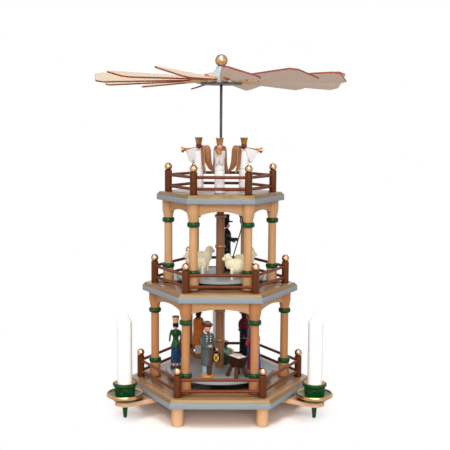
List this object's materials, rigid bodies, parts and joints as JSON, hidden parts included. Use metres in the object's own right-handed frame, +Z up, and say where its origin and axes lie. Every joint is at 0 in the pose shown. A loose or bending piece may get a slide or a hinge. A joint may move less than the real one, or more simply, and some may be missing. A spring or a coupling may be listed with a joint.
{
  "type": "candle carousel",
  "caption": "Tiered wooden candle carousel: rising warm air turns a bladed impeller whose steel shaft carries round platforms with carved figures.",
  "frame": {"origin": "on the shaft's axis, on the surface that the legs stand on", "axes": "+Z up along the shaft; -Y to the front; +X to the viewer's right"},
  "size_m": [0.2943, 0.2944, 0.42],
  "materials": {
    "board_brown": "varnished",
    "beech": "satin varnish",
    "beech_light": "satin varnish",
    "rail_brown": "stained and varnished",
    "table_grey": "satin paint",
    "green": "gloss paint",
    "steel": "drawn rod",
    "glass": "clear",
    "hub_grey": "satin paint",
    "gold": "metallic paint",
    "veneer": "bare wood",
    "wax": "wax",
    "angel_white": "gloss paint",
    "coat_grey": "painted",
    "coat_green": "painted",
    "coat_orange": "painted",
    "robe_blue": "painted",
    "cape_red": "painted",
    "coat_black": "painted",
    "manger_brown": "painted",
    "wool": "carved and painted"
  },
  "bodies": {
    "stand": {"angel_1": "angel_white", "angel_2": "angel_white", "angel_3": "angel_white", "base_board": "board_brown", "base_railing": "rail_brown", "bearing_cup": "glass", "candle_arm_1": "beech_light", "candle_arm_2": "beech_light", "candle_arm_3": "beech_light", "candle_cup_1": "green", "candle_cup_2": "green", "candle_cup_3": "green", "lower_pillar_1": "beech", "lower_pillar_2": "beech", "lower_pillar_3": "beech", "lower_pillar_4": "beech", "lower_pillar_5": "beech", "lower_pillar_6": "beech", "middle_board": "board_brown", "middle_railing": "rail_brown", "top_board": "board_brown", "top_railing": "rail_brown", "upper_pillar_1": "beech", "upper_pillar_2": "beech", "upper_pillar_3": "beech", "upper_pillar_4": "beech", "upper_pillar_5": "beech", "upper_pillar_6": "beech"},
    "rotor": {"finial_ball": "gold", "impeller_hub": "hub_grey", "kneeling_man": "coat_green", "lower_turntable": "table_grey", "man_in_orange_coat": "coat_orange", "man_in_red_cape": "cape_red", "man_with_lantern": "coat_grey", "manger": "manger_brown", "middle_turntable": "table_grey", "shaft": "steel", "sheep_1": "wool", "sheep_2": "wool", "sheep_3": "wool", "sheep_4": "wool", "shepherd": "coat_black", "woman_in_blue_robe": "robe_blue", "woman_in_tall_hat": "coat_green"},
    "blade_body_01": {"blade_01": "veneer"},
    "blade_body_02": {"blade_02": "veneer"},
    "blade_body_03": {"blade_03": "veneer"},
    "blade_body_04": {"blade_04": "veneer"},
    "blade_body_05": {"blade_05": "veneer"},
    "blade_body_06": {"blade_06": "veneer"},
    "blade_body_07": {"blade_07": "veneer"},
    "blade_body_08": {"blade_08": "veneer"},
    "blade_body_09": {"blade_09": "veneer"},
    "blade_body_10": {"blade_10": "veneer"},
    "blade_body_11": {"blade_11": "veneer"},
    "blade_body_12": {"blade_12": "veneer"},
    "candle_body_1": {"candle_1": "wax"},
    "candle_body_2": {"candle_2": "wax"},
    "candle_body_3": {"candle_3": "wax"}
  },
  "joints": [
    {"name": "rotor_spin", "type": "hinge", "parent": "stand", "child": "rotor", "pos_m": [0, 0, 0.391], "axis": [0, 0, 1], "continuous": true},
    {"name": "blade_01_twist", "type": "hinge", "parent": "rotor", "child": "blade_body_01", "pos_m": [0, 0, 0.391], "axis": [0.1392, -0.9903, 0], "range_deg": [-74, 16]},
    {"name": "blade_02_twist", "type": "hinge", "parent": "rotor", "child": "blade_body_02", "pos_m": [0, 0, 0.391], "axis": [0.6157, -0.788, 0], "range_deg": [-76, 14]},
    {"name": "blade_03_twist", "type": "hinge", "parent": "rotor", "child": "blade_body_03", "pos_m": [0, 0, 0.391], "axis": [0.9272, -0.3746, 0], "range_deg": [-77, 13]},
    {"name": "blade_04_twist", "type": "hinge", "parent": "rotor", "child": "blade_body_04", "pos_m": [0, 0, 0.391], "axis": [0.9903, 0.1392, 0], "range_deg": [-63, 27]},
    {"name": "blade_05_twist", "type": "hinge", "parent": "rotor", "child": "blade_body_05", "pos_m": [0, 0, 0.391], "axis": [0.788, 0.6157, 0], "range_deg": [-70, 20]},
    {"name": "blade_06_twist", "type": "hinge", "parent": "rotor", "child": "blade_body_06", "pos_m": [0, 0, 0.391], "axis": [0.3746, 0.9272, 0], "range_deg": [-71, 19]},
    {"name": "blade_07_twist", "type": "hinge", "parent": "rotor", "child": "blade_body_07", "pos_m": [0, 0, 0.391], "axis": [-0.1392, 0.9903, 0], "range_deg": [-73, 17]},
    {"name": "blade_08_twist", "type": "hinge", "parent": "rotor", "child": "blade_body_08", "pos_m": [0, 0, 0.391], "axis": [-0.6157, 0.788, 0], "range_deg": [-75, 15]},
    {"name": "blade_09_twist", "type": "hinge", "parent": "rotor", "child": "blade_body_09", "pos_m": [0, 0, 0.391], "axis": [-0.9272, 0.3746, 0], "range_deg": [-73, 17]},
    {"name": "blade_10_twist", "type": "hinge", "parent": "rotor", "child": "blade_body_10", "pos_m": [0, 0, 0.391], "axis": [-0.9903, -0.1392, 0], "range_deg": [-73, 17]},
    {"name": "blade_11_twist", "type": "hinge", "parent": "rotor", "child": "blade_body_11", "pos_m": [0, 0, 0.391], "axis": [-0.788, -0.6157, 0], "range_deg": [-79, 11]},
    {"name": "blade_12_twist", "type": "hinge", "parent": "rotor", "child": "blade_body_12", "pos_m": [0, 0, 0.391], "axis": [-0.3746, -0.9272, 0], "range_deg": [-73, 17]},
    {"name": "candle_1_lift", "type": "slide", "parent": "stand", "child": "candle_body_1", "axis": [0, 0, 1], "range_m": [0, 0.015]},
    {"name": "candle_2_lift", "type": "slide", "parent": "stand", "child": "candle_body_2", "axis": [0, 0, 1], "range_m": [0, 0.015]},
    {"name": "candle_3_lift", "type": "slide", "parent": "stand", "child": "candle_body_3", "axis": [0, 0, 1], "range_m": [0, 0.015]}
  ]
}
